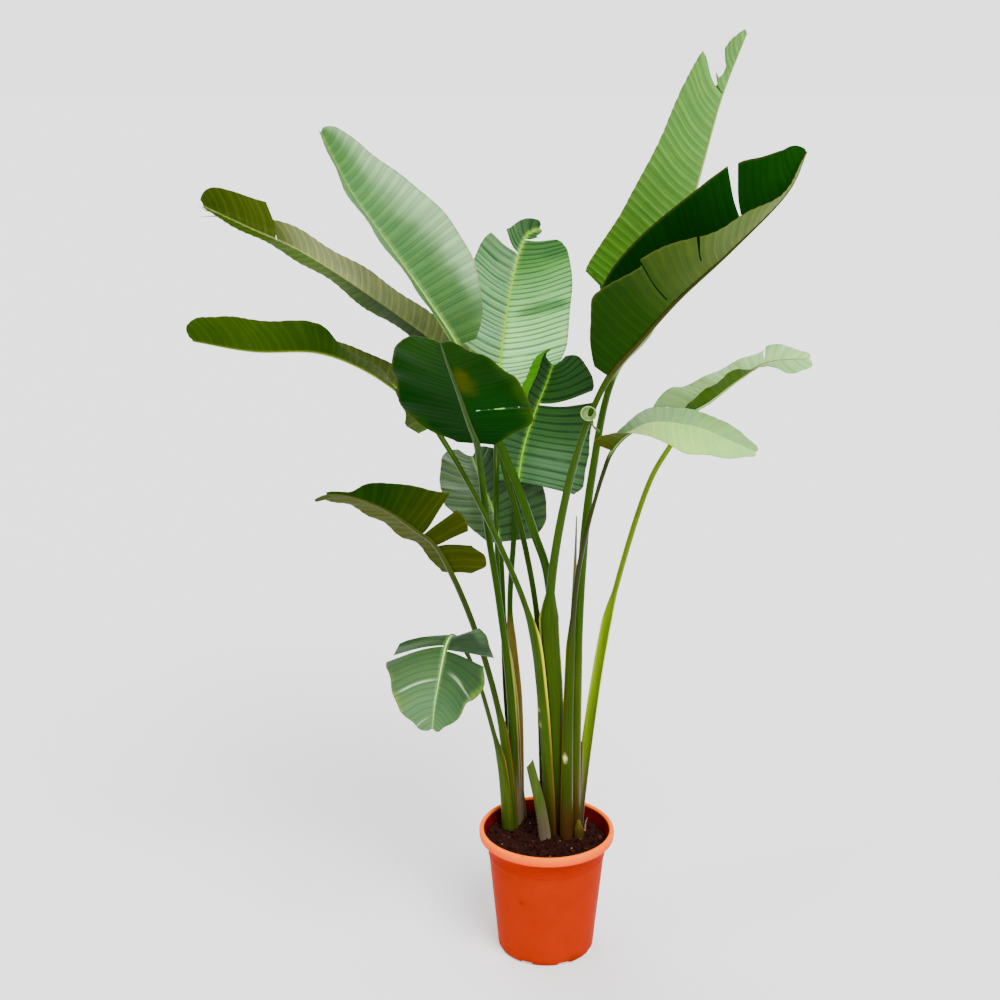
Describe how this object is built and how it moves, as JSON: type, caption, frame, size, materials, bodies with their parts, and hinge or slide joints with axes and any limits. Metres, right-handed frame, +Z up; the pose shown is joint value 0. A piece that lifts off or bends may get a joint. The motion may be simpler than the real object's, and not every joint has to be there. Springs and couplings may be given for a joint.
{
  "type": "potted bird of paradise plant",
  "caption": "Tall giant bird of paradise with upright, split, paddle-shaped leaves on long stalks, standing in a round orange plastic nursery pot of soil.",
  "frame": {"origin": "middle of the pot's flat underside, on the surface that it stands on", "axes": "+Z up; +X to the right and -Y towards the viewer, seen from the front where most blades spread to left and right"},
  "size_m": [1.0092, 0.5794, 1.586],
  "materials": {
    "pot": "satin moulded plastic",
    "soil": "rough, crumbly",
    "leaf": "waxy, semi-gloss",
    "dry_sheath": "dry, matte"
  },
  "bodies": {
    "root": {"pot": "pot", "soil": "soil", "leaf_tall_right": "leaf", "leaf_trough_right": "leaf", "leaf_arched_right": "leaf", "leaf_small_right": "leaf", "leaf_large_left": "leaf", "leaf_long_left": "leaf", "leaf_low_left": "leaf", "leaf_front": "leaf", "leaf_centre_tall": "leaf", "leaf_centre_folded": "leaf", "leaf_centre_low": "leaf", "leaf_torn_left": "leaf", "leaf_hanging_left": "leaf", "spear": "dry_sheath", "old_sheath": "dry_sheath", "cut_stub": "leaf", "sprout": "leaf"}
  },
  "joints": []
}
